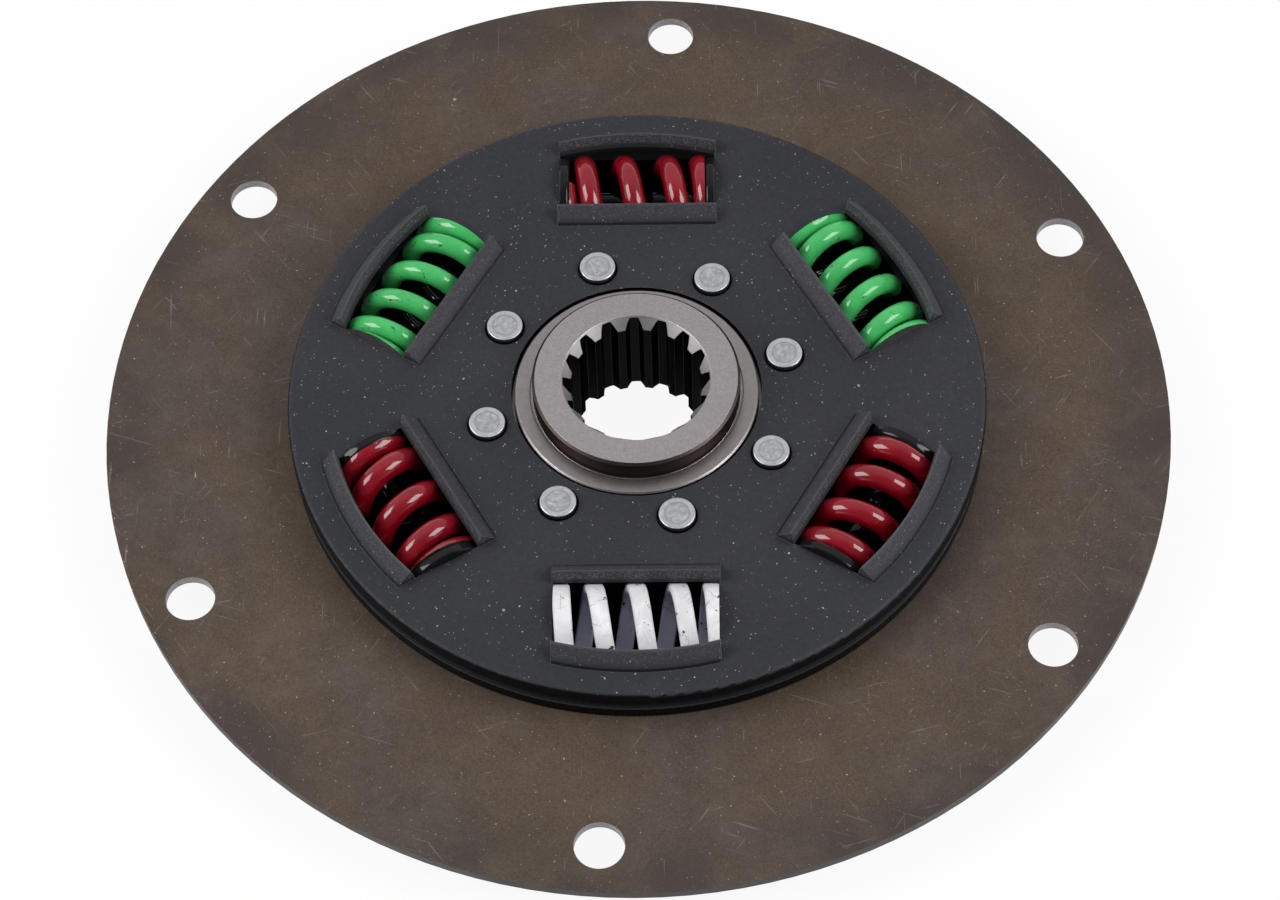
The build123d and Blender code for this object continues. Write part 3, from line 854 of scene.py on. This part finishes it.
def coil_heights(facts, steps):
    """Height of the wire's middle at each step, with soft changes of pitch."""
    turns, closed = facts["turns"], facts["closed_turns"]
    step = turns / steps
    open_share = []
    for i in range(steps):
        at = (i + 0.5) * step
        share = min(1.0, max(0.0, (min(at, turns - at) - closed) / BLEND_TURNS + 0.5))
        open_share.append(share * share * (3 - 2 * share))
    rise = facts["length"] + 2 * facts["ground"]
    closed_rise = facts["closed_pitch"] * step * sum(1 - share for share in open_share)
    open_pitch = (rise - closed_rise) / (step * sum(open_share))
    heights = [-facts["ground"]]
    for share in open_share:
        pitch = facts["closed_pitch"] * (1 - share) + open_pitch * share
        heights.append(heights[-1] + pitch * step)
    return heights


def window_place(window):
    """A window's outward direction, its spring's direction and its middle."""
    angle = math.radians(FIRST_WINDOW + WINDOW_STEP * window)
    outwards = Vector((math.cos(angle), math.sin(angle), 0))
    along = Vector((math.sin(angle), -math.cos(angle), 0))
    return outwards, along, outwards * SPRING_CIRCLE + Vector((0, 0, MID_PLANE))


def close_mesh(mesh, name, materials, sharp=180.0):
    """Makes an object of a mesh. Edges bent by more than sharp degrees stay hard."""
    for edge in mesh.edges:
        if len(edge.link_faces) == 2 and edge.calc_face_angle(0) > math.radians(sharp):
            edge.smooth = False
    data = bpy.data.meshes.new(name)
    mesh.to_mesh(data)
    mesh.free()
    for material in materials:
        data.materials.append(material)
    return new_object(name, data)


def build_spring(name, window, start, facts):
    """Builds one spring in its window and gives it its paint."""
    section, length, turns = facts["section"], facts["length"], facts["turns"]
    outwards, along, centre = window_place(window)
    mean_radius = SPRING_RADIUS - facts["depth"] / 2
    steps = round(turns * RINGS_PER_TURN)
    mesh = bmesh.new()
    rings = []
    for i, height in enumerate(coil_heights(facts, steps)):
        turn = math.radians(start) + 2 * math.pi * turns * i / steps
        ring = []
        for out, rise in section:
            radius = mean_radius + out
            level = min(length, max(0.0, height + rise))
            point = centre + outwards * radius * math.cos(turn)
            point += Vector((0, 0, radius * math.sin(turn))) + along * (level - length / 2)
            ring.append(mesh.verts.new(point))
        rings.append(ring)
    for first, second in zip(rings, rings[1:]):
        for i in range(len(section)):
            j = (i + 1) % len(section)
            mesh.faces.new((first[i], first[j], second[j], second[i]))
    mesh.faces.new(list(reversed(rings[0])))
    mesh.faces.new(rings[-1])
    bmesh.ops.remove_doubles(mesh, verts=mesh.verts, dist=SAME_PLACE)
    bmesh.ops.recalc_face_normals(mesh, faces=mesh.faces)
    for face in mesh.faces:
        offsets = [(v.co - centre).dot(along) for v in face.verts]
        face.smooth = not all(abs(abs(o) - length / 2) < ON_THE_END for o in offsets)
        if not face.smooth:
            face.material_index = GROUND_SLOT
    return close_mesh(mesh, name, (facts["paint"], ground_steel), SPRING_SHARP), centre, along


# %% [markdown]
# ## The six springs
# When the plate turns against the hub, every spring is squeezed from one end.

# %% Make the springs
RED_LENGTH = WINDOW_LENGTH - 2 * SEAT_THICKNESS
green = dict(
    section=round_section(3.2 * MM), depth=6.4 * MM, length=WINDOW_LENGTH, turns=5.45,
    closed_turns=1.15, closed_pitch=6.55 * MM, ground=2.2 * MM, paint=green_paint,
)
red = dict(
    section=round_section(3.65 * MM), depth=7.3 * MM, length=RED_LENGTH, turns=4.27,
    closed_turns=0.97, closed_pitch=7.45 * MM, ground=1.65 * MM, paint=red_paint,
)
white = dict(
    section=flat_section(2.8 * MM, 5.5 * MM, 0.9 * MM), depth=2.8 * MM, length=WINDOW_LENGTH, turns=5.2,
    closed_turns=0.95, closed_pitch=5.7 * MM, ground=1.4 * MM, paint=white_paint,
)
springs = (
    ("green_spring_1", 0, 35.0, green, "green_paint"),
    ("red_spring_1", 1, 100.0, red, "red_paint"),
    ("green_spring_2", 2, 35.0, green, "green_paint"),
    ("red_spring_2", 3, 42.0, red, "red_paint"),
    ("white_spring", 4, 286.0, white, "white_paint"),
    ("red_spring_3", 5, 250.0, red, "red_paint"),
)
for node_name, window, start, facts, slot_name in springs:
    spring, centre, along = build_spring("Coil_" + node_name, window, start, facts)
    print(spring.name, "faces:", len(spring.data.polygons))
    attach(spring, "spring_set")
    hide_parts(node_name)
    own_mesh(spring)

# %% [markdown]
# ## Spring seats
# Each heavy spring stands between two seats: a round cap with a soft rim, and
# a peg that keeps the coil in line. They are turned parts, so a profile is
# drawn once and spun round the spring's axis.

# %% Spin a profile
SPUN_SHARP = 40.0


def spin_profile(name, profile, centre, axis, count, material):
    """Turns (height, radius) points round an axis into a smooth closed mesh."""
    mesh = bmesh.new()
    out = Vector((0, 0, 1)) if abs(axis.z) < 0.5 else Vector((1, 0, 0))
    across = axis.cross(out)
    rings = []
    for height, radius in profile:
        middle = centre + axis * height
        if radius == 0:
            rings.append([mesh.verts.new(middle)])
            continue
        ring = []
        for turn in full_turn(count):
            ring.append(mesh.verts.new(middle + radius * (out * math.cos(turn) + across * math.sin(turn))))
        rings.append(ring)
    for first, second in zip(rings, rings[1:]):
        for i in range(count):
            j = (i + 1) % count
            if len(first) == 1:
                mesh.faces.new((first[0], second[i], second[j]))
            elif len(second) == 1:
                mesh.faces.new((first[i], second[0], first[j]))
            else:
                mesh.faces.new((first[i], first[j], second[j], second[i]))
    bmesh.ops.recalc_face_normals(mesh, faces=mesh.faces)
    for face in mesh.faces:
        face.smooth = True
    return close_mesh(mesh, name, (material,), SPUN_SHARP)


def rounded_corner(height, radius, size, steps=5):
    """Profile points of a quarter round from a cap's side to its face."""
    points = []
    for i in range(steps + 1):
        turn = math.pi / 2 * i / steps
        points.append((height - size + size * math.sin(turn), radius - size + size * math.cos(turn)))
    return points


# %% Make the seats
SEAT_SIDES = 72
SEAT_RADIUS = 14.6 * MM
SEAT_BEVEL = 0.3 * MM
SEAT_CORNER = 1.2 * MM
PEG_RADIUS = 3.1 * MM
PEG_CORNER = 1.0 * MM
PEG_GAP = 8.4 * MM
PEG_TOP = SEAT_THICKNESS + (RED_LENGTH - PEG_GAP) / 2
RED_WINDOWS = (1, 3, 5)
seat_profile = [(0, 0), (0, SEAT_RADIUS - SEAT_BEVEL), (SEAT_BEVEL, SEAT_RADIUS)]
seat_profile += rounded_corner(SEAT_THICKNESS, SEAT_RADIUS, SEAT_CORNER)
seat_profile += [(SEAT_THICKNESS, PEG_RADIUS)]
seat_profile += rounded_corner(PEG_TOP, PEG_RADIUS, PEG_CORNER)
seat_profile += [(PEG_TOP, 0)]
for number, window in enumerate(RED_WINDOWS, start=1):
    _, along, middle = window_place(window)
    for end, side in (("near", 1), ("far", -1)):
        wall = middle - side * along * WINDOW_LENGTH / 2
        node_name = f"seat_{number}_{end}"
        seat = spin_profile("Cap_" + node_name, seat_profile, wall, side * along, SEAT_SIDES, seat_black)
        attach(seat, "spring_set")
        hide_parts(node_name)
        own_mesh(seat)
print("points in a seat's profile:", len(seat_profile))

# %% [markdown]
# ## Rivet heads
# The hub's rivets are upset in a press. The tool leaves a flat head with a
# rounded rim, a faint ring and a rough middle. The same spinning makes each
# half of a rivet, with small random steps in the middle of its head, and the
# sixteen halves are joined into one piece.

# %% Make the rivet heads
RIVET_SIDES = 48
HEAD_RADIUS = 5.6 * MM
HEAD_HEIGHT = 1.6 * MM
HEAD_CORNER = 0.42 * MM
RIVET_SHANK = 4.0 * MM
RING_SHARES = (0.86, 0.82, 0.78, 0.72, 0.6, 0.48, 0.36, 0.24, 0.12)
DEEP_RINGS = (0.82, 0.48)
DEEP_DIP = 0.10 * MM
SHALLOW_DIP = 0.03 * MM
MIDDLE_DIP = 0.05 * MM
DENT = 0.05 * MM
TOP_SHARE = 0.7


def rivet_profile(noise):
    """Half the rivet from its middle plane to the centre of its head."""
    base = COVER_FACE - MID_PLANE
    top = base + HEAD_HEIGHT
    points = [(0, RIVET_SHANK), (base, RIVET_SHANK), (base, HEAD_RADIUS)]
    points += rounded_corner(top, HEAD_RADIUS, HEAD_CORNER)
    for share in RING_SHARES:
        dip = DEEP_DIP if share in DEEP_RINGS else SHALLOW_DIP
        points.append((top - dip * (0.4 + noise.random()), HEAD_RADIUS * share))
    points.append((top - MIDDLE_DIP, 0))
    return points


noise = random.Random(4)
heads = []
for number in range(RIVET_COUNT):
    angle = math.radians(RIVET_START + 360 / RIVET_COUNT * number)
    centre = Vector((RIVET_CIRCLE * math.cos(angle), RIVET_CIRCLE * math.sin(angle), MID_PLANE))
    for side in (1, -1):
        profile = rivet_profile(noise)
        heads.append(spin_profile("Rivet", profile, centre, Vector((0, 0, side)), RIVET_SIDES, rivet_steel))
rivets = bmesh.new()
for head in heads:
    rivets.from_mesh(head.data)
    bpy.data.objects.remove(head)
for vertex in rivets.verts:
    if abs(vertex.co.z - MID_PLANE) > COVER_FACE - MID_PLANE + HEAD_HEIGHT * TOP_SHARE:
        vertex.co.z += (noise.random() - 0.5) * DENT
bmesh.ops.remove_doubles(rivets, verts=rivets.verts, dist=SAME_PLACE)
upset_rivets = close_mesh(rivets, "Upset_rivets", (rivet_steel,))
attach(upset_rivets, "hub_and_covers")
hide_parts("hub_rivets")
print("rivets:", RIVET_COUNT, "faces:", len(upset_rivets.data.polygons))

# %% [markdown]
# ## Floor, wall, sky and lamps
# The part is photographed on white. The floor and a low wall round it are
# pale. What the camera, the gloss and clear things see of them is close to
# white, while a share of the floor still takes the object's shadow. From below
# the floor is clear, so that the part's back can be looked at. A ring of the
# floor under the covers is painted black as shadow, where the windows look down
# on it. The front of the wall is dark in the gloss, like the room behind a
# photographer, which gives the lead-ins of the spline their contrast. The light
# comes from two large soft boxes, left and right of the camera and forty degrees
# up. A weak sky, brighter at the back, fills in what they leave.

# %% Floor and wall
FLOOR_LEVEL = cad_low.z - 0.2 * MM
FLOOR_SIZE = 6.0
WALL_RADIUS = 2.9
WALL_HEIGHT = 0.9
WALL_SIDES = 48
SHADE_INNER = 27 * MM
SHADE_OUTER = 103 * MM
GLOW_SHARE = 0.92
WHITE = (1, 1, 1, 1)
BLACK = (0, 0, 0, 1)
DIM = (0.05, 0.05, 0.05, 1)
DIM_START = -2.1
DIM_FULL = -2.6


def backdrop_material(name, glow_share, shaded_ring=False, dim_front=False):
    plain = dict(Base_Color=(0.8, 0.8, 0.8, 1), Roughness=0.9, Specular_IOR_Level=0.1)
    material, tree, shader = start_material(name, **plain)
    glow = add_node(tree, "ShaderNodeEmission", {"Color": WHITE, "Strength": 1.0})
    rays = add_node(tree, "ShaderNodeLightPath").outputs
    glossy = rays["Is Glossy Ray"]
    seen = strongest(tree, rays["Is Camera Ray"], glossy, rays["Is Transmission Ray"])
    share = glow_share
    # Painted shadow: a black ring of the floor under the covers
    if shaded_ring:
        radius = use_group(tree, around_axis)["Radius"]
        ring = math_node(tree, "GREATER_THAN", radius, SHADE_INNER)
        ring = times(tree, ring, math_node(tree, "LESS_THAN", radius, SHADE_OUTER))
        feed(tree, glow, Color=mix_color(tree, ring, WHITE, BLACK))
        share = strongest(tree, ring, glow_share)
    if dim_front:
        depth = split(tree, object_place(tree))[1]
        front = times(tree, fade_out(tree, depth, DIM_FULL, DIM_START), glossy)
        feed(tree, glow, Color=mix_color(tree, front, WHITE, DIM))
    inputs = {"Fac": times(tree, seen, share), 1: shader.outputs[0], 2: glow.outputs[0]}
    both = add_node(tree, "ShaderNodeMixShader", inputs)
    below = add_node(tree, "ShaderNodeNewGeometry").outputs["Backfacing"]
    nothing = add_node(tree, "ShaderNodeBsdfTransparent").outputs[0]
    clear = add_node(tree, "ShaderNodeMixShader", {"Fac": below, 1: both.outputs[0], 2: nothing})
    feed(tree, tree.nodes["Material Output"], Surface=clear.outputs[0])
    return material


def build_stage(name, corners, faces, material):
    mesh = bpy.data.meshes.new(name)
    mesh.from_pydata(corners, [], faces)
    mesh.materials.append(material)
    piece = new_object(name, mesh)


half = FLOOR_SIZE / 2
floor_corners = [(x * half, y * half, FLOOR_LEVEL) for x, y in ((-1, -1), (1, -1), (1, 1), (-1, 1))]
pale_floor = backdrop_material("Pale floor", GLOW_SHARE, shaded_ring=True)
build_stage("Floor", floor_corners, [(0, 1, 2, 3)], pale_floor)
wall_corners = []
for level in (FLOOR_LEVEL, FLOOR_LEVEL + WALL_HEIGHT):
    for turn in full_turn(WALL_SIDES):
        wall_corners.append((WALL_RADIUS * math.cos(turn), WALL_RADIUS * math.sin(turn), level))
wall_faces = []
for i in range(WALL_SIDES):
    j = (i + 1) % WALL_SIDES
    wall_faces.append((i, WALL_SIDES + i, WALL_SIDES + j, j))
build_stage("Wall", wall_corners, wall_faces, backdrop_material("Pale wall", 1.0, dim_front=True))
print("floor at", round(FLOOR_LEVEL, 4))

# %% Sky and lamps
SKY_FRONT = 0.15
SKY_BACK = 0.62
LAMP_ELEVATION = 41.0
LAMP_DISTANCE = 1.6
LAMP_SIZE = 0.9
LAMP_POWER = 17.0


def build_sky():
    """A weak sky, brighter at the back, where flat faces mirror it."""
    world = bpy.data.worlds.new("Studio sky")
    bpy.context.scene.world = world
    world.use_nodes = True
    tree = world.node_tree
    depth = split(tree, add_node(tree, "ShaderNodeTexCoord").outputs["Generated"])[1]
    background = tree.nodes["Background"]
    feed(tree, background, Color=WHITE, Strength=fade(tree, depth, -0.5, 0.5, SKY_FRONT, SKY_BACK))


def build_lamp(name, azimuth):
    """A square soft box that looks at the part."""
    data = bpy.data.lights.new(name, "AREA")
    data.shape = "SQUARE"
    data.size = LAMP_SIZE
    data.energy = LAMP_POWER
    turn, rise = math.radians(azimuth), math.radians(LAMP_ELEVATION)
    out = Vector((math.cos(turn) * math.cos(rise), math.sin(turn) * math.cos(rise), math.sin(rise)))
    lamp = new_object(name, data)
    lamp.location = out * LAMP_DISTANCE
    lamp.rotation_euler = (-out).to_track_quat("-Z", "Y").to_euler()
    print(name, LAMP_POWER, "W")


build_sky()
build_lamp("Left soft box", azimuth=187)
build_lamp("Right soft box", azimuth=343)
